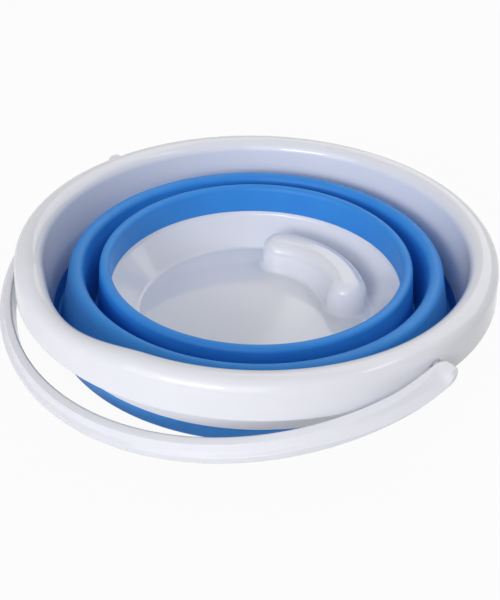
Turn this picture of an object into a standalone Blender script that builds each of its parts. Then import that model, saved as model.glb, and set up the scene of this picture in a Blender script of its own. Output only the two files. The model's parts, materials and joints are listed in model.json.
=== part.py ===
# Collapsible camp bucket, folded flat: a hard rolled rim, a soft pleated wall,
# a hard base bowl with a finger recess, and a bail handle.
# Metres, +Z up. The origin is on the bucket's axis, in the plane it stands on.
# The handle's pivot axis runs along X, and the folded handle lies towards -Y.

import math

import bmesh
import bpy
import numpy as np
from mathutils import Matrix

# Driving dimensions: radii, built outwards from the base
base_mouth_radius = 0.0985        # inside of the base bowl where the soft wall starts
inner_crest_lean = 0.0026         # how far the inner pleat leans out of the base's mouth
inner_fold_width = 0.0089         # inner crest to inner valley
middle_fold_width = 0.0100        # inner valley to outer crest
outer_fold_width = 0.0143         # outer crest to outer valley
neck_offset = 0.0027              # outer valley to the inside of the rim's lower edge
rim_flare = 0.0122                # rim's lower edge to the middle of the rolled lip

# Driving dimensions: heights of the folded bucket
foot_height = 0.0008              # the foot ring lifts the underside by this much
floor_thickness = 0.0022
base_depth = 0.0225               # floor to the lower edge of the soft wall
crest_height = 0.0468             # top of both pleats
valley_height = 0.0031            # lowest point of both pleats
neck_height = 0.0155              # the rim's lower edge
lip_height = 0.0547               # middle of the rolled lip
pivot_drop = 0.0041               # middle of the lip to the handle's pivots
skirt_below_pivot = 0.0116        # pivots to the skirt's lower edge

# Walls and fits
shell_wall = 0.0027               # moulded rim and base
skin_wall = 0.0024                # soft wall
seam_gap = 0.0003                 # left between faces that touch on the real thing
tongue_length = 0.0030            # hard edge that the soft wall is moulded over
tongue_wall_share = 0.37          # of the shell's wall

# Rounded folds
outer_crest_round = 0.0050
inner_crest_round = 0.0036
valley_round = 0.0040

# Rolled lip and skirt
lip_round = 0.0093
skirt_flare = 0.0012              # how far the skirt leans out to its lower edge
edge_round = 0.0008

# Pouring lip: over the folded handle the lip's inner side is pushed out and dipped
pour_half_angle = math.radians(25)
pour_push = 0.0039                # outwards, at the lip's inner side
pour_dip = 0.0041                 # downwards, at the top of the lip

# Base bowl
floor_radius = 0.0815
floor_fillet = 0.0050
mouth_land = 0.0020               # short upright edge above the bowl's slope
foot_ring_width = 0.0040
foot_ring_inset = 0.0035          # foot ring's outer edge inside the floor's edge

# Finger recess moulded up into the floor
recess_path_radius = 0.0635
recess_half_angle = math.radians(33.5)
recess_middle_angle = math.radians(90)
recess_half_width = 0.0142
recess_height = 0.0220            # above the floor
recess_draft = 0.0007             # drawn in on each side over the upright part
recess_crown_round = 0.0095
recess_wall = 0.0022

# Handle
handle_clearance = 0.0052         # between the skirt and the handle
handle_thickness = 0.0100         # radial
handle_depth = 0.0116             # across the handle's own plane
handle_rest_tilt = math.radians(12.8)
end_reach = 0.0055                # the handle's ends run past the pivot axis
end_round = 0.0040
channel_fade_angle = math.radians(16)
spacer_radius = 0.0048
spacer_gap = 0.0018               # each side, with the handle in the middle of its play
stud_radius = 0.0036
stud_clearance = 0.0004
stud_end_play = 0.0018
stud_head_step = 0.0011
stud_head_length = 0.0042
stud_slot_width = 0.0014
pivot_boss_radius = 0.0072
pivot_boss_height = 0.0018

# Facets
turn_steps = 48
quarter_steps = 3
handle_steps = 38
recess_arc_steps = 9
small_turn_steps = 16
overrun = 0.0010                  # how far cutters pass the faces they cut
weld_distance = 0.000001

# Worked out from the sizes above
inner_crest_radius = base_mouth_radius + inner_crest_lean
inner_valley_radius = inner_crest_radius + inner_fold_width
outer_crest_radius = inner_valley_radius + middle_fold_width
outer_valley_radius = outer_crest_radius + outer_fold_width
neck_radius = outer_valley_radius + neck_offset
lip_radius = neck_radius + rim_flare
floor_height = foot_height + floor_thickness
mouth_height = floor_height + base_depth
pivot_height = lip_height - pivot_drop
skirt_foot_height = pivot_height - skirt_below_pivot
skirt_top_radius = lip_radius + lip_round
skirt_foot_radius = skirt_top_radius + skirt_flare
skirt_lean_share = pivot_drop / (pivot_drop + skirt_below_pivot)
skirt_pivot_radius = skirt_top_radius + skirt_flare * skirt_lean_share
tongue_wall = shell_wall * tongue_wall_share
handle_inner_radius = skirt_foot_radius + handle_clearance
handle_middle_radius = handle_inner_radius + handle_thickness / 2


def clear_scene():
    for thing in list(bpy.data.objects):
        bpy.data.objects.remove(thing, do_unlink=True)


def make_material(name, colour, roughness):
    material = bpy.data.materials.new(name)
    material.use_nodes = True
    shader = material.node_tree.nodes["Principled BSDF"]
    shader.inputs["Base Color"].default_value = (*colour, 1.0)
    shader.inputs["Roughness"].default_value = roughness
    shader.inputs["Metallic"].default_value = 0.0
    return material


def add_object(name, bm, material=None):
    """Turn a bmesh into an object of one closed body with its faces pointing out."""
    bmesh.ops.recalc_face_normals(bm, faces=bm.faces)
    mesh = bpy.data.meshes.new(name)
    bm.to_mesh(mesh)
    bm.free()
    mesh.shade_smooth()
    mesh.set_sharp_from_angle(angle=math.radians(35))
    thing = bpy.data.objects.new(name, mesh)
    bpy.context.scene.collection.objects.link(thing)
    if material:
        mesh.materials.append(material)
    return thing


def add_cutter(name, bm):
    cutter = add_object(name, bm)
    cutter.hide_render = True
    cutter.display_type = "WIRE"
    return cutter


def combine(thing, other, operation):
    boolean = thing.modifiers.new(other.name, "BOOLEAN")
    boolean.operation = operation
    boolean.solver = "EXACT"
    boolean.object = other


def turned(outline, steps=turn_steps):
    """Spin an outline of (radius, height) points round Z. Points on the axis become one."""
    bm = bmesh.new()
    verts = [bm.verts.new((radius, 0.0, height)) for radius, height in outline]
    closed = outline[0][0] > 0 or outline[-1][0] > 0
    edges = [bm.edges.new(pair) for pair in zip(verts, verts[1:])]
    if closed:
        edges.append(bm.edges.new((verts[-1], verts[0])))
    bmesh.ops.spin(
        bm, geom=verts + edges, cent=(0, 0, 0), axis=(0, 0, 1),
        angle=math.tau, steps=steps, use_merge=True,
    )
    bmesh.ops.remove_doubles(bm, verts=bm.verts, dist=weld_distance)
    return bm


def lofted(rings):
    """Skin a list of equal rings of points, with a face at each end."""
    bm = bmesh.new()
    loops = [[bm.verts.new(point) for point in ring] for ring in rings]
    for ring, following in zip(loops, loops[1:]):
        count = len(ring)
        for i in range(count):
            j = (i + 1) % count
            bm.faces.new((ring[i], ring[j], following[j], following[i]))
    bm.faces.new(loops[0])
    bm.faces.new(loops[-1])
    return bm


def arc(centre, radius, start, end, steps=quarter_steps):
    """Points on an arc in the (radius, height) plane, angles in radians."""
    angles = np.linspace(start, end, steps + 1)
    return [(centre[0] + radius * math.cos(a), centre[1] + radius * math.sin(a)) for a in angles]


def quarter(centre, radius, side, up):
    """A quarter circle from its top (up 1) or bottom (up -1) out to one side.

    It stops half a seam gap short of the upright line through its centre.
    """
    first = math.asin(seam_gap / 2 / radius)
    return [
        (centre[0] + side * radius * math.sin(a), centre[1] + up * radius * math.cos(a))
        for a in np.linspace(first, math.pi / 2, quarter_steps + 1)
    ]


def crest_faces(radius, round_radius, side):
    """Outside and inside of one half of a pleat's rounded top, from the top down."""
    centre = (radius, crest_height - round_radius)
    return (quarter(centre, round_radius, side, 1),
            quarter(centre, round_radius - skin_wall, side, 1))


def valley_faces(radius, side):
    """Outside and inside of one half of a pleat's rounded bottom, from the bottom up."""
    centre = (radius, valley_height + valley_round)
    return (quarter(centre, valley_round, side, -1),
            quarter(centre, valley_round - skin_wall, side, -1))


def pleat_leg(crest_radius, crest_round, valley_radius):
    """One leg of a pleat, from the middle of its crest to the middle of its valley."""
    side = 1 if valley_radius > crest_radius else -1
    crest_out, crest_in = crest_faces(crest_radius, crest_round, side)
    valley_out, valley_in = valley_faces(valley_radius, -side)
    return crest_out + valley_in[::-1] + valley_out + crest_in[::-1]


def slotted_edge(radius, height, direction):
    """A soft edge moulded over a hard tongue: outer lip, slot and inner lip.

    radius is the inside of the wall. direction is 1 where the edge looks up, -1 down.
    """
    face = height - direction * seam_gap
    root = face - direction * tongue_length
    slot = tongue_wall + 2 * seam_gap
    cheek = (shell_wall - slot) / 2
    outer = radius + shell_wall
    return [
        (outer, face), (outer - cheek, face), (outer - cheek, root),
        (radius + cheek, root), (radius + cheek, face), (radius, face),
    ]


def tongued_edge(radius, height, direction):
    """A hard edge with a tongue, from the inside of the wall to its outside."""
    tip = height + direction * (tongue_length - seam_gap)
    step = (shell_wall - tongue_wall) / 2
    outer = radius + shell_wall
    return [
        (radius, height), (radius + step, height), (radius + step, tip),
        (outer - step, tip), (outer - step, height), (outer, height),
    ]


def make_rim(material):
    """Rolled lip with a skirt outside and the bucket's upper wall inside."""
    hollow_round = lip_round - shell_wall
    roll = (lip_radius, lip_height)
    skirt_inside = skirt_foot_radius - shell_wall
    foot = [
        (skirt_inside, skirt_foot_height + edge_round),
        (skirt_inside + edge_round, skirt_foot_height),
        (skirt_foot_radius - edge_round, skirt_foot_height),
        (skirt_foot_radius, skirt_foot_height + edge_round),
    ]
    over = arc(roll, lip_round, 0.0, math.pi, 3 * quarter_steps)
    under = arc(roll, hollow_round, math.pi, 0.0, 2 * quarter_steps)
    neck = tongued_edge(neck_radius, neck_height, -1)
    body = turned(foot + over + neck + under)
    shape_pouring_lip(body)
    rim = add_object("rim", body, material)
    for side in (1, -1):
        name = "right" if side > 0 else "left"
        inside = skirt_pivot_radius - shell_wall
        boss = round_bar(
            inside - pivot_boss_height, inside + shell_wall / 2, pivot_boss_radius, side)
        combine(rim, add_cutter("pivot_boss_" + name, boss), "UNION")
        hole = round_bar(
            inside - pivot_boss_height - overrun, skirt_foot_radius + overrun,
            stud_radius + stud_clearance, side)
        combine(rim, add_cutter("pivot_hole_" + name, hole), "DIFFERENCE")
    return rim


def smooth_step(value):
    share = min(1.0, max(0.0, value))
    return share * share * (3 - 2 * share)


def shape_pouring_lip(bm):
    """Push the lip's inner side out and dip its top, fading out to both sides."""
    inner_side = lip_radius - lip_round
    top = lip_height + lip_round
    for vert in bm.verts:
        radius = math.hypot(vert.co.x, vert.co.y)
        away = abs(math.atan2(vert.co.x, -vert.co.y)) / pour_half_angle
        share = max(0.0, 1.0 - away * away) ** 2
        across = min(1.0, max(0.0, (radius - inner_side) / (2 * lip_round)))
        climb = smooth_step((vert.co.z - neck_height) / (lip_height - neck_height))
        push = pour_push * share * climb * (1.0 - across * across)
        vert.co.x *= (radius + push) / radius
        vert.co.y *= (radius + push) / radius
        above_foot = (vert.co.z - skirt_foot_height) / (top - skirt_foot_height)
        vert.co.z -= pour_dip * share * smooth_step(above_foot)


def round_bar(near, far, radius, side):
    """A bar along X at pivot height, from near to far, on the +X or -X side."""
    return side_turned([(near, 0.0), (near, radius), (far, radius), (far, 0.0)], side,
                       pivot_height)


def side_turned(outline, side, height):
    """Turn an outline of (distance along X, radius) points round the pivot axis."""
    bm = turned([(radius, along) for along, radius in outline], small_turn_steps)
    to_side = Matrix.Rotation(side * math.pi / 2, 4, "Y")
    bmesh.ops.transform(bm, matrix=Matrix.Translation((0, 0, height)) @ to_side, verts=bm.verts)
    return bm


def make_outer_band(material):
    """Soft band from the rim's lower edge down to the outer valley."""
    outside, inside = valley_faces(outer_valley_radius, 1)
    edge = slotted_edge(neck_radius, neck_height, 1)
    return add_object("wall_outer_band", turned(outside + edge + inside[::-1]), material)


def make_inner_band(material):
    """Soft band from the inner crest down to the base bowl's mouth."""
    outside, inside = crest_faces(inner_crest_radius, inner_crest_round, -1)
    edge = slotted_edge(base_mouth_radius, mouth_height, -1)
    return add_object("wall_inner_band", turned(outside + edge[::-1] + inside[::-1]), material)


def make_pleat(name, crest_radius, crest_round, valley_radius, material):
    return add_object(name, turned(pleat_leg(crest_radius, crest_round, valley_radius)), material)


def make_base(material):
    """Shallow bowl with a sloping wall, a foot ring and a moulded finger recess."""
    land_foot = mouth_height - mouth_land
    rise = land_foot - floor_height
    run = base_mouth_radius - floor_radius
    slope = math.atan2(rise, run)
    tangent = floor_fillet * math.tan(slope / 2)
    fillet_centre = (floor_radius - tangent, floor_height + floor_fillet)
    fillet = arc(fillet_centre, floor_fillet, -math.pi / 2, slope - math.pi / 2)
    across = shell_wall * math.sin(slope)
    below = shell_wall * math.cos(slope)
    outer_mouth = base_mouth_radius + shell_wall
    drop = (outer_mouth - base_mouth_radius - across) * math.tan(slope)
    ring_outer = floor_radius - foot_ring_inset
    ring_inner = ring_outer - foot_ring_width
    toe_radius = floor_radius + across
    outline = [(0.0, floor_height)] + fillet + [(base_mouth_radius, land_foot)]
    outline += tongued_edge(base_mouth_radius, mouth_height, 1)
    outline += [
        (outer_mouth, land_foot - below + drop),
        (toe_radius, floor_height - below),
        (ring_outer + edge_round, foot_height / 2),
        (ring_outer, 0.0), (ring_inner, 0.0), (ring_inner, foot_height), (0.0, foot_height),
    ]
    base = add_object("base_bowl", turned(outline), material)
    bump = lofted(recess_rings(0.0, floor_height - floor_thickness / 2))
    combine(base, add_cutter("recess_bump", bump), "UNION")
    hollow = lofted(recess_rings(recess_wall, -overrun))
    combine(base, add_cutter("recess_hollow", hollow), "DIFFERENCE")
    return base


def recess_outline(half_width, height):
    """A bean shape: a band along an arc round the bucket's axis, with round ends."""
    start = recess_middle_angle - recess_half_angle
    end = recess_middle_angle + recess_half_angle
    along = np.linspace(start, end, recess_arc_steps)
    outer = [(recess_path_radius + half_width, a) for a in along]
    inner = [(recess_path_radius - half_width, a) for a in along[::-1]]
    points = [(r * math.cos(a), r * math.sin(a), height) for r, a in outer]
    points += end_cap(end, half_width, height, 0.0)
    points += [(r * math.cos(a), r * math.sin(a), height) for r, a in inner]
    points += end_cap(start, half_width, height, math.pi)
    return points


def end_cap(angle, half_width, height, turn):
    """The points between the two sides of the bean at one of its round ends."""
    middle = (recess_path_radius * math.cos(angle), recess_path_radius * math.sin(angle))
    sweep = np.linspace(0.0, math.pi, 2 * quarter_steps + 1)[1:-1] + angle + turn
    return [
        (middle[0] + half_width * math.cos(a), middle[1] + half_width * math.sin(a), height)
        for a in sweep
    ]


def recess_rings(inset, foot):
    """Rings of the bean from its foot up over its rounded top, all drawn in by inset."""
    top = floor_height + recess_height - inset
    width = recess_half_width - inset
    crown = recess_crown_round - inset / 2
    shoulder = width - recess_draft
    rings = [recess_outline(width, foot), recess_outline(shoulder, top - crown)]
    for a in np.linspace(0.0, math.pi / 2, quarter_steps + 1)[1:]:
        narrower = shoulder - crown * (1 - math.cos(a))
        rings.append(recess_outline(narrower, top - crown * (1 - math.sin(a))))
    return rings


# Handle section in shares of half its thickness and half its depth, inner side at -1.
# The first four points are the channel cored into its underside.
# The outer side steps down to a ledge.
channel_shares = [(0.36, -1.0), (0.22, -0.25), (-0.42, -0.25), (-0.52, -1.0)]
section_shares = [
    (-0.80, -1.0), (-1.0, -0.82), (-1.0, 0.80), (-0.80, 1.0), (0.02, 0.99), (0.16, 0.90),
    (0.48, 0.22), (0.84, 0.06), (1.0, -0.10), (1.0, -0.82), (0.82, -1.0),
]


def handle_stations():
    """Angle and inset of each ring from tip to tip. The rings shrink over the round tips."""
    tips = [
        ((end_round * (1 - math.cos(a)) - end_reach) / handle_middle_radius,
         end_round * (1 - math.sin(a)))
        for a in np.linspace(0.0, math.pi / 2, quarter_steps + 1)
    ]
    start = tips[-1][0]
    middle = [(a, 0.0) for a in np.linspace(start, math.pi - start, handle_steps + 1)[1:-1]]
    return tips + middle + [(math.pi - a, inset) for a, inset in tips[::-1]]


def handle_ring(angle, inset):
    """The handle's section at an angle round its half circle, in the handle's own plane."""
    from_end = min(angle, math.pi - angle) / channel_fade_angle
    fade = min(1.0, max(0.0, from_end - 1.0))
    fade = fade * fade * (3 - 2 * fade)
    section = [(across, -1.0 + (height + 1.0) * fade) for across, height in channel_shares]
    points = []
    for across, height in section + section_shares:
        radius = handle_middle_radius + across * (handle_thickness / 2 - inset)
        points.append((radius * math.cos(angle), -radius * math.sin(angle),
                       height * (handle_depth / 2 - inset)))
    return points


def make_handle(material, rim):
    """Half-circle handle with rounded tips, and split studs that snap into the skirt."""
    rings = [handle_ring(angle, inset) for angle, inset in handle_stations()]
    handle = add_object("bail_handle", lofted(rings), material)
    handle.parent = rim
    handle.location = (0.0, 0.0, pivot_height)
    handle.rotation_euler = (handle_rest_tilt, 0.0, 0.0)
    root = handle_inner_radius + end_round
    shoulder = skirt_foot_radius + spacer_gap
    boss_face = skirt_pivot_radius - shell_wall - pivot_boss_height
    head = boss_face - stud_end_play
    tip = head - stud_head_length
    stud = [
        (tip, 0.0), (tip, stud_radius - edge_round), (head, stud_radius + stud_head_step),
        (head, stud_radius), (shoulder, stud_radius), (shoulder, spacer_radius),
        (root, spacer_radius), (root, 0.0),
    ]
    for side in (1, -1):
        name = "right" if side > 0 else "left"
        cutter = add_cutter("handle_stud_" + name, side_turned(stud, side, 0.0))
        carry_with(cutter, handle)
        combine(handle, cutter, "UNION")
        bm = bmesh.new()
        bmesh.ops.create_cube(bm, size=1.0)
        length = shoulder - tip
        size = (length, stud_slot_width, 4 * stud_radius)
        middle = side * (tip - overrun + length / 2)
        place = Matrix.Translation((middle, 0, 0)) @ Matrix.Diagonal((*size, 1.0))
        bmesh.ops.transform(bm, matrix=place, verts=bm.verts)
        slot = add_cutter("stud_slot_" + name, bm)
        carry_with(slot, handle)
        combine(handle, slot, "DIFFERENCE")
    return handle


def carry_with(cutter, thing):
    cutter.parent = thing


def add_empty(name, parent, height):
    empty = bpy.data.objects.new(name, None)
    bpy.context.scene.collection.objects.link(empty)
    empty.parent = parent
    empty.location = (0.0, 0.0, height)
    return empty


def main():
    clear_scene()
    hard_white = make_material("hard_white", (0.80, 0.81, 0.84), 0.25)
    soft_blue = make_material("soft_blue", (0.05, 0.24, 0.66), 0.45)
    make_base(hard_white)
    make_inner_band(soft_blue)
    ring_stage = add_empty("ring_stage", None, 0.0)
    rim_stage = add_empty("rim_stage", ring_stage, 0.0)
    inner_fold = make_pleat("wall_inner_fold", inner_crest_radius, inner_crest_round,
                            inner_valley_radius, soft_blue)
    middle_band = make_pleat("wall_middle_band", outer_crest_radius, outer_crest_round,
                             inner_valley_radius, soft_blue)
    outer_fold = make_pleat("wall_outer_fold", outer_crest_radius, outer_crest_round,
                            outer_valley_radius, soft_blue)
    outer_band = make_outer_band(soft_blue)
    rim = make_rim(hard_white)
    make_handle(hard_white, rim)
    for thing in (inner_fold, middle_band):
        thing.parent = ring_stage
    for thing in (outer_fold, outer_band, rim):
        thing.parent = rim_stage


main()
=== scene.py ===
import json
import math

import bmesh
import bpy
import numpy as np
from mathutils import Matrix, Vector


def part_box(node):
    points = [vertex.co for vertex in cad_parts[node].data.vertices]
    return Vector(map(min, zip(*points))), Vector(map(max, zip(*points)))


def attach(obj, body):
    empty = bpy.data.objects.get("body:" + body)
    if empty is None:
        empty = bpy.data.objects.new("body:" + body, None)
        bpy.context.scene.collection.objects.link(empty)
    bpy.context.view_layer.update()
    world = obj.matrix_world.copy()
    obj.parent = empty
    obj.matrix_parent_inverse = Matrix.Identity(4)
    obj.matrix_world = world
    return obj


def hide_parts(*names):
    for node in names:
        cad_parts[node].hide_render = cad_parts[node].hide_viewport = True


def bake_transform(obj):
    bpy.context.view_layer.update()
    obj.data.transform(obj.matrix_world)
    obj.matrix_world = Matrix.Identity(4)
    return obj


mm = 0.001
mergeWithin = 0.0005 * mm
sharpAngle = math.radians(50)
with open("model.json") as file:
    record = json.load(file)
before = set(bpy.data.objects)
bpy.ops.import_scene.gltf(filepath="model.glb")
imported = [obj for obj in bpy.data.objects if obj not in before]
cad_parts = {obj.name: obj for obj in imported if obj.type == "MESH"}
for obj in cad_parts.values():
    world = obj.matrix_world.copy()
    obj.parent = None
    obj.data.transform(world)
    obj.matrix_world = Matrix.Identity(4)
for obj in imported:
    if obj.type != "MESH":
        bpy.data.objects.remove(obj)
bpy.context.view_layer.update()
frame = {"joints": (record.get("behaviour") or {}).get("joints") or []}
pivotHeight = next(joint for joint in frame["joints"] if joint["type"] == "hinge")["pos_m"][2]

# Mesh building

def signedVolume(points, quads):
    # Sum of the tetrahedra between the origin and both triangles of every quad
    a, b, c, d = (points[quads[:, k]] for k in range(4))
    return (np.einsum("ij,ij->", a, np.cross(b, c)) + np.einsum("ij,ij->", a, np.cross(c, d))) / 6


def meshFromGrid(name, grid, closedRows=True):
    # A grid of points becomes quads. Columns always close on themselves, and rows do so where
    # the profile is a loop. Otherwise the first and last rows are the poles of the surface.
    rows, columns = grid.shape[:2]
    points = grid.reshape(-1, 3)
    i = np.arange(rows if closedRows else rows - 1)[:, None]
    j = np.arange(columns)[None, :]
    nextI, nextJ = (i + 1) % rows, (j + 1) % columns
    quads = np.stack(np.broadcast_arrays(
        i * columns + j, i * columns + nextJ, nextI * columns + nextJ, nextI * columns + j), -1)
    quads = quads.reshape(-1, 4)
    if signedVolume(points, quads) < 0:
        quads = quads[:, ::-1]
    mesh = bpy.data.meshes.new(name)
    mesh.vertices.add(len(points))
    mesh.vertices.foreach_set("co", points.astype(np.float32).ravel())
    mesh.loops.add(quads.size)
    mesh.loops.foreach_set("vertex_index", quads.astype(np.int32).ravel())
    mesh.polygons.add(len(quads))
    mesh.polygons.foreach_set("loop_start", np.arange(0, quads.size, 4, dtype=np.int32))
    mesh.update(calc_edges=True)
    mesh.polygons.foreach_set("use_smooth", np.ones(len(quads), bool))
    form = bmesh.new()
    form.from_mesh(mesh)
    bmesh.ops.remove_doubles(form, verts=form.verts, dist=mergeWithin)
    bmesh.ops.dissolve_degenerate(form, edges=form.edges, dist=mergeWithin)
    form.to_mesh(mesh)
    form.free()
    mesh.set_sharp_from_angle(angle=sharpAngle)
    piece = bpy.data.objects.new(name, mesh)
    bpy.context.scene.collection.objects.link(piece)
    return piece


def arcPoints(centre, radius, start, end, count):
    # Points on a circle in the (radius, height) plane, at equal angles in degrees
    angle = np.radians(np.linspace(start, end, count))
    return np.column_stack([centre[0] + radius * np.cos(angle), centre[1] + radius * np.sin(angle)])


def spacedPath(points, spacing, closed=True):
    # Splits each side of a path into equal steps no longer than the spacing
    points = np.asarray(points, float)
    ends = np.roll(points, -1, axis=0) if closed else points[1:]
    starts = points if closed else points[:-1]
    parts = []
    for start, end in zip(starts, ends):
        steps = max(1, int(np.ceil(np.linalg.norm(end - start) / spacing)))
        share = np.arange(steps)[:, None] / steps
        parts.append(start + share * (end - start))
    if not closed:
        parts.append(points[-1:])
    return np.vstack(parts)


def roundedPath(corners, steps=8, even=False):
    # A closed outline of (x, y, radius) corners, each replaced by the arc that touches both sides,
    # so tangent length = radius / tan(half the corner). A corner with no radius stays a point.
    # Steps is the number of points on a quarter turn, or on every corner where the count is even.
    corners = np.asarray(corners, float)
    spots, radii = corners[:, :2], corners[:, 2]
    before = np.roll(spots, 1, axis=0) - spots
    after = np.roll(spots, -1, axis=0) - spots
    before /= np.linalg.norm(before, axis=1)[:, None]
    after /= np.linalg.norm(after, axis=1)[:, None]
    half = np.arccos(np.clip((before * after).sum(1), -1, 1)) / 2
    parts = []
    for spot, radius, first, second, angle in zip(spots, radii, before, after, half):
        if radius == 0:
            parts.append(spot[None])
            continue
        middle = first + second
        middle /= np.linalg.norm(middle)
        centre = spot + middle * radius / math.sin(angle)
        start = spot + first * radius / math.tan(angle) - centre
        end = spot + second * radius / math.tan(angle) - centre
        sweep = math.atan2(start[0] * end[1] - start[1] * end[0], start @ end)
        count = steps if even else max(3, int(round(steps * abs(sweep) / (math.pi / 2))))
        turn = np.linspace(0, sweep, count)[:, None]
        across = np.array([-start[1], start[0]])
        parts.append(centre + np.cos(turn) * start + np.sin(turn) * across)
    return np.vstack(parts)


def smoothRise(value):
    # 3 t^2 - 2 t^3, from 0 to 1
    value = np.clip(value, 0, 1)
    return value * value * (3 - 2 * value)


def revolve(name, profile, turns=256, change=None):
    # The (radius, height) outline carried round the bucket's axis, then changed by a function of
    # radius, angle and height where one is given
    angle = np.linspace(0, 2 * np.pi, turns, endpoint=False)[None, :]
    radius, angle, height = np.broadcast_arrays(profile[:, :1], angle, profile[:, 1:])
    if change:
        radius, height = change(radius, angle, height)
    return meshFromGrid(name, np.stack([radius * np.cos(angle), radius * np.sin(angle), height], -1))


def bakeModifiers(piece):
    # Keeps the evaluated mesh and drops the modifiers
    graph = bpy.context.evaluated_depsgraph_get()
    finished = bpy.data.meshes.new_from_object(piece.evaluated_get(graph))
    piece.modifiers.clear()
    piece.data = finished
    finished.name = piece.name
    return piece


def cutOrJoin(piece, other, operation):
    boolean = piece.modifiers.new(other.name, "BOOLEAN")
    boolean.operation = operation
    boolean.solver = "EXACT"
    boolean.object = other
    bpy.context.view_layer.update()
    bakeModifiers(piece)
    bpy.data.objects.remove(other)


# Soft pleated wall

wall = dict(
    skin=2.4 * mm, spacing=1.1 * mm, arcSteps=14, seamAngle=0.3,
    crestTop=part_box("wall_inner_band")[1].z, valleyLow=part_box("wall_outer_band")[0].z,
    innerCrest=101.1 * mm, innerValley=110.0 * mm, outerCrest=120.0 * mm, outerValley=134.3 * mm,
    innerCrestRound=3.6 * mm, outerCrestRound=5.0 * mm, valleyRound=4.0 * mm,
    mouthRadius=98.5 * mm, mouthHeight=25.5 * mm, neckRadius=137.0 * mm, neckHeight=15.5 * mm,
    hardWall=2.7 * mm, seam=0.15 * mm, lipRound=0.35 * mm,
)


def quarterFromSeam(centre, radius, start, end):
    # A quarter circle with one more point close to its start, where another piece carries it on,
    # so that the light runs over the seam without a line
    close = start + math.copysign(wall["seamAngle"], end - start)
    return np.vstack([arcPoints(centre, radius, start, start, 1),
                      arcPoints(centre, radius, close, end, wall["arcSteps"])])


def crestSide(radius, roundRadius, side):
    # Outside and inside of half a crest, from its top down to one side
    centre = (radius, wall["crestTop"] - roundRadius)
    end = 0 if side > 0 else 180
    return [quarterFromSeam(centre, r, 90, end) for r in (roundRadius, roundRadius - wall["skin"])]


def valleySide(radius, side):
    # Outside and inside of half a valley, from its bottom up to one side
    centre = (radius, wall["valleyLow"] + wall["valleyRound"])
    end = 0 if side > 0 else -180
    return [quarterFromSeam(centre, r, -90, end)
            for r in (wall["valleyRound"], wall["valleyRound"] - wall["skin"])]


def pleatLeg(crestRadius, crestRound, valleyRadius):
    side = 1 if valleyRadius > crestRadius else -1
    crestOut, crestIn = crestSide(crestRadius, crestRound, side)
    valleyOut, valleyIn = valleySide(valleyRadius, -side)
    return spacedPath(np.vstack([crestOut, valleyIn[::-1], valleyOut, crestIn[::-1]]), wall["spacing"])


def softEdge(radius, height, direction):
    # The soft wall's edge against the hard part, with both its corners slightly rounded
    r = wall["lipRound"]
    corner = height - direction * (wall["seam"] + r)
    return np.vstack([arcPoints((radius + wall["hardWall"] - r, corner), r, 0, 90 * direction, 5),
                      arcPoints((radius + r, corner), r, 90 * direction, 180 * direction, 5)])


outside, inside = crestSide(wall["innerCrest"], wall["innerCrestRound"], -1)
innerBand = revolve("softWallInnerBand", spacedPath(np.vstack([
    outside, softEdge(wall["mouthRadius"], wall["mouthHeight"], -1)[::-1], inside[::-1]]), wall["spacing"]))
innerFold = revolve("softWallInnerFold", pleatLeg(
    wall["innerCrest"], wall["innerCrestRound"], wall["innerValley"]))
middleBand = revolve("softWallMiddleBand", pleatLeg(
    wall["outerCrest"], wall["outerCrestRound"], wall["innerValley"]))
outerFold = revolve("softWallOuterFold", pleatLeg(
    wall["outerCrest"], wall["outerCrestRound"], wall["outerValley"]))
outside, inside = valleySide(wall["outerValley"], 1)
outerBand = revolve("softWallOuterBand", spacedPath(np.vstack([
    outside, softEdge(wall["neckRadius"], wall["neckHeight"], 1), inside[::-1]]), wall["spacing"]))
print("soft wall made")

# Rolled rim with its skirt

rim = dict(
    wall=2.7 * mm, lipHeight=54.7 * mm, lipRadius=149.2 * mm, lipRound=9.3 * mm, lipSteps=44,
    neckRadius=137.0 * mm, neckHeight=15.5 * mm, neckRound=0.3 * mm, edgeRound=0.9 * mm,
    footRadius=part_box("rim")[1].x, footHeight=pivotHeight - 11.6 * mm, spacing=1.6 * mm, turns=288,
    bossRadius=7.2 * mm, bossHeight=1.8 * mm, bossRoot=1.2 * mm,
    holeRadius=4.0 * mm, holeInwards=4.0 * mm, holeOutwards=2.0 * mm,
    pourHalfAngle=math.radians(25), pourPush=3.9 * mm, pourDip=4.1 * mm,
)
footRadius, footHeight, lipRound = rim["footRadius"], rim["footHeight"], rim["lipRound"]


def touchAngle(spot, radius, side):
    # Where a line from a spot below the lip touches the lip's circle: the direction of the spot
    # seen from the centre, turned by acos(radius / distance) towards the outside or the inside
    across, rise = spot[0] - rim["lipRadius"], spot[1] - rim["lipHeight"]
    return math.degrees(math.atan2(rise, across) + side * math.acos(radius / math.hypot(across, rise)))


def lipArc(outerFoot, innerFoot, radius):
    start = touchAngle(outerFoot, radius, 1)
    end = touchAngle(innerFoot, radius, -1) + 360
    arc = arcPoints((rim["lipRadius"], rim["lipHeight"]), radius, start, end, rim["lipSteps"])
    return np.column_stack([arc, np.zeros(len(arc))])


def pouringLip(radius, angle, height):
    # Over the folded handle the lip's inner side is pushed outwards and its top dips. Both fade
    # with (1 - a^2)^2 of the angle a from -Y, towards the neck and towards the skirt's foot.
    away = np.abs(np.arctan2(np.cos(angle), -np.sin(angle))) / rim["pourHalfAngle"]
    share = np.clip(1 - away ** 2, 0, None) ** 2
    across = np.clip((radius - rim["lipRadius"] + lipRound) / (2 * lipRound), 0, 1)
    climb = smoothRise((height - rim["neckHeight"]) / (rim["lipHeight"] - rim["neckHeight"]))
    dip = smoothRise((height - footHeight) / (rim["lipHeight"] + lipRound - footHeight))
    return (radius + rim["pourPush"] * share * climb * (1 - across ** 2),
            height - rim["pourDip"] * share * dip)


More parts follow.
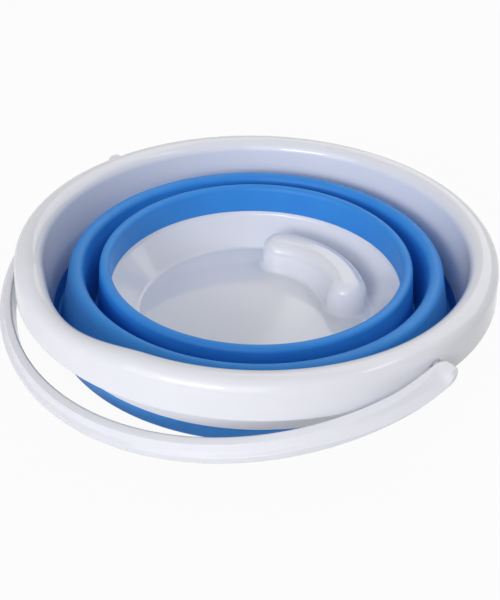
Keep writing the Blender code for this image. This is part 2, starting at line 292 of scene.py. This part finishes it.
def makeRim():
    w, e, n = rim["wall"], rim["edgeRound"], rim["neckRound"]
    neck, low = rim["neckRadius"], rim["neckHeight"]
    outline = roundedPath(np.vstack([
        [(footRadius, footHeight, e)],
        lipArc((footRadius, footHeight), (neck, low), lipRound),
        [(neck, low, n), (neck + w, low, n)],
        lipArc((footRadius - w, footHeight), (neck + w, low), lipRound - w)[::-1],
        [(footRadius - w, footHeight, e)],
    ]), steps=6)
    return revolve("rimShell", spacedPath(outline, rim["spacing"]), turns=rim["turns"], change=pouringLip)


rimShell = makeRim()
lean = math.tan(math.radians(touchAngle((footRadius, footHeight), lipRound, 1)))


def skirtRadius(height):
    return footRadius - lean * (height - footHeight)


def turnedOnPivot(name, profile, side, turns=48):
    # The (radius, distance from the bucket's axis) outline carried round the pivot axis
    profile = np.asarray(profile, float)
    angle = np.linspace(0, 2 * np.pi, turns, endpoint=False)[None, :]
    r, along = profile[:, :1], profile[:, 1:]
    grid = np.stack(np.broadcast_arrays(
        side * along, r * np.cos(angle), pivotHeight + r * np.sin(angle)), -1)
    return meshFromGrid(name, grid, closedRows=False)


def barAlongX(name, near, far, radius, side):
    # A short round bar on the pivot axis, on the right (side 1) or left (side -1)
    return turnedOnPivot(name, [(0, near), (radius, near), (radius, far), (0, far)], side)


skirtInside = skirtRadius(pivotHeight) - rim["wall"]
for side in (1, -1):
    boss = barAlongX("boss", skirtInside - rim["bossHeight"], skirtInside + rim["bossRoot"],
                     rim["bossRadius"], side)
    cutOrJoin(rimShell, boss, "UNION")
    hole = barAlongX("hole", skirtInside - rim["holeInwards"], footRadius + rim["holeOutwards"],
                     rim["holeRadius"], side)
    cutOrJoin(rimShell, hole, "DIFFERENCE")
print("rim made")

# Base bowl with the moulded finger recess

bowl = dict(
    floor=3.0 * mm, underside=0.8 * mm, floorRadius=81.5 * mm, filletRound=3.2 * mm, wall=2.7 * mm,
    mouthRadius=98.5 * mm, mouthHeight=25.5 * mm, land=2.0 * mm, edgeRound=0.35 * mm,
    collarHeight=21.1 * mm, collarRound=3.0 * mm,
    heelRadius=83.6 * mm, heelHeight=1.2 * mm, heelRound=2.0 * mm,
    ringOuter=78.0 * mm, ringInner=74.0 * mm, ringRound=0.35 * mm, ringFlare=0.6 * mm,
    ringTop=0.9 * mm, ringTaper=0.4 * mm, ringRootRound=0.3 * mm,
    floorRows=33, slopeBreak=90.0 * mm, lowSlopeRows=25, highSlopeRows=9, undersideRows=13,
    flatEdge=79.2 * mm, spacing=1.5 * mm,
)
recess = dict(
    pathRadius=63.5 * mm, halfAngle=math.radians(33.5), middle=math.radians(88.9),
    halfWidth=14.2 * mm, height=22.0 * mm, draft=0.7 * mm, crown=9.5 * mm, foot=3.0 * mm,
    dome=0.9 * mm, wall=2.2 * mm, openingRound=1.2 * mm, nearFoot=0.2 * mm,
    star=(0.0, 60.0 * mm), sideColumns=130, endColumns=84,
)


def beanPath():
    # Points on the recess's spine and the outward direction at each: along the outer side, round
    # one end, back along the inner side and round the other end. Both sides use the same angles,
    # so the two halves of the top meet point for point.
    middle, half = recess["middle"], recess["halfAngle"]
    start, end = middle - half, middle + half
    sweep = np.linspace(start, end, recess["sideColumns"], endpoint=False)
    back = sweep[::-1] + (sweep[1] - sweep[0])
    turn = np.linspace(0, np.pi, recess["endColumns"], endpoint=False)
    angle = np.concatenate([sweep, np.full(len(turn), end), back, np.full(len(turn), start)])
    facing = np.concatenate([sweep, end + turn, back + np.pi, start + np.pi + turn])
    spine = recess["pathRadius"] * np.column_stack([np.cos(angle), np.sin(angle)])
    return spine, np.column_stack([np.cos(facing), np.sin(facing)])


def recessProfile(shrink=0.0):
    # Distance from the recess's spine and height above its foot, from the middle of the top,
    # over the crown, down the drafted side and round the foot fillet
    half, height = recess["halfWidth"] - shrink, recess["height"] - shrink
    crown = recess["crown"] - shrink * 0.5
    shoulder = half - recess["draft"]
    top = np.linspace(0, shoulder - crown, 6)
    over = arcPoints((shoulder - crown, height - crown), crown, 88, 0, 18)
    foot = recess["foot"]
    side = np.linspace((shoulder, height - crown), (half, foot), 10)[1:-1]
    turn = arcPoints((half + foot, foot), foot, 180, 270, 12)
    line = np.vstack([np.column_stack([top, np.full(len(top), height)]), over, side, turn])
    line[:, 1] += recess["dome"] * (1 - np.clip(line[:, 0] / shoulder, 0, 1) ** 2) * (line[:, 1] > foot)
    return line


def bowlHeight(radius):
    # Height of the bowl's inner face above its floor: flat, then a fillet, then a straight slope
    rise = bowl["mouthHeight"] - bowl["land"] - bowl["floor"]
    run = bowl["mouthRadius"] - bowl["floorRadius"]
    slope = math.atan2(rise, run)
    start = bowl["floorRadius"] - bowl["filletRound"] * math.tan(slope / 2)
    reach = bowl["filletRound"] * math.sin(slope)
    inFillet = np.clip(radius - start, 0, reach)
    curved = bowl["filletRound"] - np.sqrt(bowl["filletRound"] ** 2 - inFillet ** 2)
    return np.where(radius > start + reach, (radius - bowl["floorRadius"]) * math.tan(slope), curved)


def spineDistance(points):
    # Distance from the recess's spine, which is an arc round the bucket's axis with two ends
    radius = np.hypot(points[..., 0], points[..., 1])
    angle = np.arctan2(points[..., 1], points[..., 0]) - recess["middle"]
    beyond = np.abs(angle) > recess["halfAngle"]
    endAngle = recess["middle"] + np.sign(angle) * recess["halfAngle"]
    toEnd = np.hypot(points[..., 0] - recess["pathRadius"] * np.cos(endAngle),
                     points[..., 1] - recess["pathRadius"] * np.sin(endAngle))
    return np.where(beyond, toEnd, np.abs(radius - recess["pathRadius"]))


def starToCircle(outline, radius):
    # Where the ray from the star point through each outline point meets a circle round the axis
    star = np.array(recess["star"])
    ray = outline - star
    ray /= np.linalg.norm(ray, axis=1)[:, None]
    along = ray @ star
    return star + ray * (-along + np.sqrt(along ** 2 + radius ** 2 - star @ star))[:, None]


def bowlOutside():
    # Outline from inside the mouth, over its edge, down the outside, over the foot ring and onto
    # the underside. The last two corners only lead the path back and are cut off.
    r, outer = bowl["edgeRound"], bowl["mouthRadius"] + bowl["wall"]
    top, under, sharp, back = bowl["mouthHeight"], bowl["underside"], 0.01 * mm, 20 * mm
    mouth = np.vstack([arcPoints((bowl["mouthRadius"] + r, top - r), r, 180, 90, 5),
                       arcPoints((outer - r, top - r), r, 90, 0, 5)])
    low = roundedPath([
        (outer, top, sharp), (outer, bowl["collarHeight"], bowl["collarRound"]),
        (bowl["heelRadius"], bowl["heelHeight"], bowl["heelRound"]),
        (bowl["ringOuter"] + bowl["ringFlare"], bowl["ringTop"], bowl["ringRootRound"]),
        (bowl["ringOuter"], 0.0, bowl["ringRound"]), (bowl["ringInner"], 0.0, bowl["ringRound"]),
        (bowl["ringInner"] - bowl["ringTaper"], under, bowl["ringRootRound"]),
        (back, under, sharp), (back, top, sharp),
    ])
    low = low[(low[:, 0] > 3 * back) & (low[:, 1] < top - 0.1 * mm)]
    return spacedPath(np.vstack([mouth, low]), bowl["spacing"], closed=False)


def lifted(flat, height):
    # Points of the plan with their heights
    return np.concatenate([flat, np.broadcast_to(height, flat.shape[:-1])[..., None]], -1)


def makeBowl():
    # One surface from the spine of the recess's top, down its sides, over the floor, up the bowl,
    # over its mouth, down the outside, over the foot ring and up into the recess from below.
    # Rows on the floor and the underside crowd towards the recess with a power of their share.
    spine, direction = beanPath()
    profile = recessProfile()
    total = recess["height"] + recess["dome"]

    def topFace(flat):
        raised = np.interp(spineDistance(flat), profile[:, 0], profile[:, 1], right=0.0)
        base = bowlHeight(np.hypot(flat[..., 0], flat[..., 1]))
        return lifted(flat, bowl["floor"] + base + raised * (1 - np.clip(base / total, 0, 1)))

    mound = profile[profile[:, 0] < recess["halfWidth"] + recess["nearFoot"]]
    flat = spine + mound[:, :1, None] * direction
    rings = [topFace(flat)]
    outline, circle = flat[-1], starToCircle(flat[-1], bowl["flatEdge"])
    unit = circle / bowl["flatEdge"]
    share = np.linspace(0, 1, bowl["floorRows"] + 1)[1:, None, None] ** 3
    rings.append(topFace(outline + share * (circle - outline)))
    slope = np.concatenate([
        np.linspace(bowl["flatEdge"], bowl["slopeBreak"], bowl["lowSlopeRows"] + 1)[1:],
        np.linspace(bowl["slopeBreak"], bowl["mouthRadius"], bowl["highSlopeRows"] + 1)[1:]])
    rings.append(topFace(slope[:, None, None] * unit))
    outside = bowlOutside()
    rings.append(lifted(outside[:, None, :1] * unit, outside[:, 1:]))
    openingRound = recess["openingRound"]
    opening = recess["halfWidth"] - recess["wall"] + openingRound
    start, outline = outside[-1, 0] * unit, spine + opening * direction
    share = 1 - (1 - np.linspace(0, 1, bowl["undersideRows"] + 1)[1:, None, None]) ** 1.5
    rings.append(lifted(start + share * (outline - start), bowl["underside"]))
    hollow = recessProfile(recess["wall"])
    hollow = hollow[hollow[:, 1] > 1.2 * recess["foot"]][::-1] + [0, bowl["floor"]]
    lead = arcPoints((opening, bowl["underside"] + openingRound), openingRound, 270, 180, 6)[1:]
    upward = np.vstack([lead, hollow])
    rings.append(lifted(spine + upward[:, :1, None] * direction, upward[:, 1:]))
    return meshFromGrid("bowl", np.concatenate(rings), closedRows=False)


bowlPiece = makeBowl()
print("bowl made")

# Bail handle with its split studs

handle = dict(
    innerRadius=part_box("bail_handle")[1].x - 10 * mm, thickness=10.0 * mm, depth=11.6 * mm,
    tilt=math.radians(12.8), reach=4.9 * mm, rows=240, steps=8, sideShift=1.45 * mm,
    tipLength=10.0 * mm, tipAcross=3.2 * mm, tipRise=0.3, tipRows=18, tipStart=math.radians(80),
    ribFade=math.radians(15), browReach=7.0 * mm, taper=2.2 * mm, taperFade=math.radians(11),
    swell=2.3 * mm, swellReach=40.0 * mm, channelDepth=5.6 * mm, channelSlot=2.4 * mm,
    channelStart=math.radians(15), channelFade=math.radians(9),
    ledgeStart=math.radians(9), ledgeFade=math.radians(26),
)
stud = dict(
    neckRadius=2.7 * mm, neckStart=-0.6 * mm, radius=3.6 * mm, endPlay=1.8 * mm, headStep=1.1 * mm,
    headLength=4.2 * mm, slotWidth=1.4 * mm, slotDepth=7.0 * mm, edge=0.5 * mm, root=3.0 * mm,
)


def handleSection(channel=0.01, ledge=0, rib=0, brow=0):
    # Outline of the bar as (across, height): a rounded rib along the inner top, a ledge below it
    # on the outer side, a channel cored into the underside, and a fuller brow at the very tip.
    # The corners are in millimetres: across, height, rounding.
    half, up = handle["thickness"] / 2 / mm, handle["depth"] / 2 / mm
    slot, coreTop = handle["channelSlot"] / mm, handle["channelDepth"] / mm * channel - up
    step = (1.5 + 0.9 * ledge + 1.5 * brow, 0.8 + 0.4 * ledge + 2.4 * brow)
    sill = -4.2 + 3.9 * ledge + 4.6 * brow
    corners = mm * np.array([
        (-half, -up, 1.0), (-half, up + 0.9, 1.3), (2.8 * rib - 2.3, up - 0.7, 1.0),
        (*step, 0.9), (half, sill, 0.8), (half, -up, 1.3),
        (slot - 0.4, -up, 0.4), (slot - 1.2, coreTop, 0.9 * channel),
        (-slot - 0.6, coreTop, 0.9 * channel), (-slot - 1.2, -up, 0.4),
    ])
    return roundedPath(corners, handle["steps"], even=True)


def makeHandle():
    # The section swept round a half circle, with elliptical tips: height x sqrt(1 - t^2). The
    # tips rise by a share of what they lose, so that they round off more from below. Near them
    # the underside lifts, and towards the pivots the inner side swells with (1 - (s / reach)^2)^2.
    middle = handle["innerRadius"] + handle["thickness"] / 2
    start = -handle["reach"] / middle
    tip = np.sin(np.linspace(handle["tipStart"], 0, handle["tipRows"]))
    tipAngle = start + handle["tipLength"] / middle * (1 - tip)
    bodyAngle = np.linspace(tipAngle[-1], np.pi - tipAngle[-1], handle["rows"])[1:-1]
    angle = np.concatenate([tipAngle, bodyAngle, np.pi - tipAngle[::-1]])
    roundness = np.sqrt(1 - tip ** 2)
    tall = np.concatenate([roundness, np.ones(len(bodyAngle)), roundness[::-1]])[:, None]
    wide = 1 - (1 - tall) * handle["tipAcross"] / (handle["thickness"] / 2)
    rise = (1 - tall) * handle["tipRise"] * handle["depth"] / 2
    fromTip = np.minimum(angle, np.pi - angle)
    plain = section = handleSection()
    for form, share in (
            ("channel", smoothRise((fromTip - handle["channelStart"]) / handle["channelFade"])),
            ("ledge", smoothRise((fromTip - handle["ledgeStart"]) / handle["ledgeFade"])),
            ("rib", smoothRise(fromTip / handle["ribFade"])),
            ("brow", 1 - smoothRise(fromTip * middle / handle["browReach"]))):
        section = section + share[:, None, None] * (handleSection(**{form: 1}) - plain)
    low = np.clip(-2 * section[..., 1] / handle["depth"], 0, 1)
    lift = handle["taper"] * (1 - smoothRise(fromTip / handle["taperFade"]))[:, None] * low
    height = (section[..., 1] + lift) * tall + rise
    inner = np.clip(-2 * section[..., 0] / handle["thickness"], 0, 1)
    swell = sum(np.clip(1 - (turn * middle / handle["swellReach"]) ** 2, 0, None)
                for turn in (angle, np.pi - angle)) ** 2
    radius = middle + section[..., 0] * wide - handle["swell"] * swell[:, None] * inner
    x, y = radius * np.cos(angle)[:, None], -radius * np.sin(angle)[:, None]
    tiltCos, tiltSin = math.cos(handle["tilt"]), math.sin(handle["tilt"])
    grid = np.stack([x, y * tiltCos - height * tiltSin,
                     pivotHeight + y * tiltSin + height * tiltCos], -1)
    ends = [np.broadcast_to(grid[k].mean(0), grid[:1].shape) for k in (0, -1)]
    return meshFromGrid("handleBar", np.concatenate([ends[0], grid, ends[1]]), closedRows=False)


def addStud(piece, side):
    # A thin neck out of the bar, a stud through the skirt's hole and a slotted head behind it
    r, e, neck, step = stud["radius"], stud["edge"], stud["neckRadius"], stud["headStep"]
    shoulder, root = footRadius + stud["neckStart"], handle["innerRadius"] + stud["root"]
    head = skirtInside - rim["bossHeight"] - stud["endPlay"]
    tip = head - stud["headLength"]
    profile = [(0, tip), (r - 2 * e, tip), (r - e, tip + 0.4 * e), (r + step, head - 2 * e),
               (r + step, head - 0.3 * e), (r, head), (r, shoulder), (neck - e, shoulder),
               (neck, shoulder + e), (neck, root), (0, root)]
    cutOrJoin(piece, turnedOnPivot("stud", profile, side), "UNION")
    bpy.ops.mesh.primitive_cube_add(size=1)
    slot = bpy.context.object
    slot.name = "slot"
    slot.location = (side * (tip + stud["slotDepth"] / 2 - e), 0, pivotHeight)
    slot.scale = (stud["slotDepth"] + e, stud["slotWidth"], 4 * r)
    cutOrJoin(piece, slot, "DIFFERENCE")


handlePiece = makeHandle()
for side in (1, -1):
    addStud(handlePiece, side)
handlePiece.data.transform(Matrix.Translation((-handle["sideShift"], 0, 0)))  # its end play is taken up
print("handle made")


# Shader expressions

class Socket:
    # Wraps a shader socket, so that sums and products of values add Math nodes
    def __init__(self, shading, socket):
        self.shading, self.socket = shading, socket

    def math(self, operation, first, second):
        return self.shading.node("Math", {"operation": operation}, i0=first, i1=second)

    def __add__(self, other):
        return self.math("ADD", self, other)

    def __radd__(self, other):
        return self.math("ADD", other, self)

    def __mul__(self, other):
        return self.math("MULTIPLY", self, other)

    def __rmul__(self, other):
        return self.math("MULTIPLY", other, self)

    def larger(self, other):
        return self.math("MAXIMUM", self, other)


class Shading:
    # The nodes of one material or of the world
    def __init__(self, tree):
        self.tree = tree

    def feed(self, slot, value):
        if isinstance(value, Socket):
            self.tree.links.new(value.socket, slot)
        else:
            slot.default_value = value

    def node(self, kind, settings=None, output=0, **values):
        # Settings go on the node first. Values and links go to its sockets, by their names with _
        # for a space, or by their numbers after an i.
        made = self.tree.nodes.new("ShaderNode" + kind)
        for key, value in (settings or {}).items():
            setattr(made, key, value)
        for key, value in values.items():
            byNumber = key[0] == "i" and key[1:].isdigit()
            self.feed(made.inputs[int(key[1:]) if byNumber else key.replace("_", " ")], value)
        return Socket(self, made.outputs[output])

    def seenDirectly(self):
        # One for what is seen straight on, in a reflection or through glass, and nothing else
        seen = self.node("LightPath", output="Is Camera Ray")
        for name in ("Is Glossy Ray", "Is Transmission Ray"):
            seen = seen.larger(self.node("LightPath", output=name))
        return seen

    def mixedInto(self, end, factor, first, second):
        self.feed(self.tree.nodes[end].inputs[0], self.node("MixShader", i0=factor, i1=first, i2=second))


class Finish(Shading):
    # A material and the node that makes its surface
    def __init__(self, name, **constants):
        self.material = bpy.data.materials.new(name)
        self.material.use_nodes = True
        super().__init__(self.material.node_tree)
        self.shader = self.tree.nodes["Principled BSDF"]
        for key, value in constants.items():
            self.drive(key.replace("_", " "), value)

    def drive(self, slot, value):
        self.feed(self.shader.inputs[slot], value)

    def noise(self, scale, detail, roughness):
        place = self.node("TexCoord", output="Object")
        return self.node("TexNoise", Vector=place, Scale=scale, Detail=detail, Roughness=roughness)

    def mask(self, value, low, high):
        # A straight rise from 0 at the low value to 1 at the high one
        return self.node("MapRange", Value=value, From_Min=low, From_Max=high)


# Noise is given as its scale, detail and roughness, and a span as the noise values where it is none and all
white = dict(
    base=(0.86, 0.87, 0.915, 1), cloud=(0.84, 0.852, 0.9, 1), clouds=(14.0, 3.0, 0.5), cloudSpan=(0.35, 0.65),
    gloss=0.05, dulling=0.05, scuffs=(90.0, 5.0, 0.65), scuffSpan=(0.3, 0.75), ior=1.49, specular=0.5,
    grains=(900.0, 2.0, 0.5), grainHeight=0.003 * mm, ripples=(55.0, 1.0, 0.5), rippleHeight=0.03 * mm,
)
blue = dict(
    base=(0.032, 0.262, 0.74, 1), cloud=(0.040, 0.285, 0.77, 1), clouds=(22.0, 4.0, 0.5), cloudSpan=(0.35, 0.7),
    gloss=0.44, dulling=0.1, scuffs=(140.0, 4.0, 0.6), scuffSpan=(0.3, 0.75), ior=1.47, specular=0.35,
    grains=(1500.0, 2.0, 0.5), grainHeight=0.02 * mm,
)


def moulding(name, look):
    # Faint clouds in the colour, scuffs in the gloss, and a fine grain, on the hard one over a slow ripple
    finish = Finish(name, IOR=look["ior"], Specular_IOR_Level=look["specular"])
    clouds = finish.mask(finish.noise(*look["clouds"]), *look["cloudSpan"])
    finish.drive("Base Color", finish.node("Mix", {"data_type": "RGBA"}, output=2, i0=clouds,
                                           i6=look["base"], i7=look["cloud"]))
    scuffs = finish.mask(finish.noise(*look["scuffs"]), *look["scuffSpan"])
    finish.drive("Roughness", look["gloss"] + look["dulling"] * scuffs)
    surface = {}
    if "ripples" in look:
        surface["Normal"] = finish.node("Bump", Height=finish.noise(*look["ripples"]),
                                        Distance=look["rippleHeight"])
    finish.drive("Normal", finish.node("Bump", Height=finish.noise(*look["grains"]),
                                       Distance=look["grainHeight"], **surface))
    return finish.material


hardWhite, softBlue = moulding("glossyWhiteMoulding", white), moulding("satinBlueSkin", blue)
for piece in (rimShell, bowlPiece, handlePiece):
    piece.data.materials.clear()
    piece.data.materials.append(hardWhite)
for piece in (innerBand, innerFold, middleBand, outerFold, outerBand):
    piece.data.materials.clear()
    piece.data.materials.append(softBlue)
print("finishes made")

# What each piece moves with

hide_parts("rim")
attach(rimShell, "rim")
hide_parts("base_bowl")
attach(bowlPiece, "base")
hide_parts("bail_handle")
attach(handlePiece, "handle")
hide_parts("wall_inner_band")
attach(innerBand, "base")
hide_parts("wall_middle_band")
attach(middleBand, "ring")
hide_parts("wall_outer_band")
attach(outerBand, "rim")
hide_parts("wall_inner_fold")
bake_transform(innerFold)
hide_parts("wall_outer_fold")
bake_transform(outerFold)
print("pieces follow their bodies")

# Camera, floor and light

# Fitted to the ellipses of the rim, the pleats, the bowl's mouth and its floor
camera = dict(lens=59.69, turn=math.radians(-2.2), place=(0.44565, -0.35322, 0.3977),
              right=(0.60823, 0.79363, 0.01437), up=(-0.45411, 0.33306, 0.82635))


def addCamera():
    spin = Matrix.Rotation(camera["turn"], 3, "Z")
    right = (spin @ Vector(camera["right"])).normalized()
    up = spin @ Vector(camera["up"])
    up = (up - right * up.dot(right)).normalized()
    data = bpy.data.cameras.new("photoCamera")
    data.lens = camera["lens"]
    data.sensor_width = 36
    data.clip_start, data.clip_end = 0.01, 20
    thing = bpy.data.objects.new("photoCamera", data)
    bpy.context.scene.collection.objects.link(thing)
    turn = Matrix((right, up, right.cross(up))).transposed()
    thing.matrix_world = Matrix.Translation(spin @ Vector(camera["place"])) @ turn.to_4x4()
    bpy.context.scene.camera = thing


studio = dict(
    floorSize=4.0, floorWhite=0.95, floorColour=(0.65, 0.65, 0.65, 1), floorRoughness=0.7,
    aim=(0, 0, 0.03), sky=0.19, skyColour=(1.0, 0.99, 0.97, 1),
)
lamps = dict(
    keySoftbox=dict(azimuth=24, elevation=24, size=(3.0, 2.0), power=35.0, distance=2.6,
                    colour=(0.93, 0.93, 1.0)),
    backSoftbox=dict(azimuth=190, elevation=45, size=(3.0, 2.4), power=30.0, distance=2.6),
    keyGleam=dict(azimuth=24, elevation=20, size=(1.1, 0.55), power=17.0, distance=2.6),
    sideGleam=dict(azimuth=119, elevation=50, size=(0.4, 0.16), power=1.0, distance=1.4),
)


def addFloor():
    s = studio["floorSize"]
    mesh = bpy.data.meshes.new("floor")
    mesh.from_pydata([(-s, -s, 0), (s, -s, 0), (s, s, 0), (-s, s, 0)], [], [(0, 1, 2, 3)])
    floor = bpy.data.objects.new("floor", mesh)
    bpy.context.scene.collection.objects.link(floor)
    finish = Finish("paleFloor", Roughness=studio["floorRoughness"], Base_Color=studio["floorColour"])
    finish.mixedInto("Material Output", finish.seenDirectly() * studio["floorWhite"],
                     Socket(finish, finish.shader.outputs[0]), finish.node("Emission"))
    mesh.materials.append(finish.material)


def addLamp(name, azimuth, elevation, size, power, distance, colour=(1, 1, 1)):
    # A softbox aimed at the bucket. Azimuth runs from straight in front (-Y) round towards +X.
    turn, rise = math.radians(azimuth), math.radians(elevation)
    towards = Vector((math.sin(turn) * math.cos(rise), -math.cos(turn) * math.cos(rise), math.sin(rise)))
    data = bpy.data.lights.new(name, "AREA")
    data.shape = "RECTANGLE"
    data.size, data.size_y = size
    data.energy, data.color = power, colour
    lamp = bpy.data.objects.new(name, data)
    bpy.context.scene.collection.objects.link(lamp)
    lamp.location = Vector(studio["aim"]) + towards * distance
    lamp.rotation_euler = (-towards).to_track_quat("-Z", "Y").to_euler()


def addWorld():
    # Dim light all round, and plain white where the background is seen
    world = bpy.data.worlds.new("studio")
    bpy.context.scene.world = world
    world.use_nodes = True
    shading = Shading(world.node_tree)
    dim = shading.node("Background", Color=studio["skyColour"], Strength=studio["sky"])
    plain = shading.node("Background", Color=(1, 1, 1, 1), Strength=1.0)
    shading.mixedInto("World Output", shading.seenDirectly(), dim, plain)


addCamera()
addFloor()
for name, lamp in lamps.items():
    addLamp(name, **lamp)
addWorld()
print("stage lit")
bpy.context.scene.view_settings.view_transform = "Standard"

print("done")
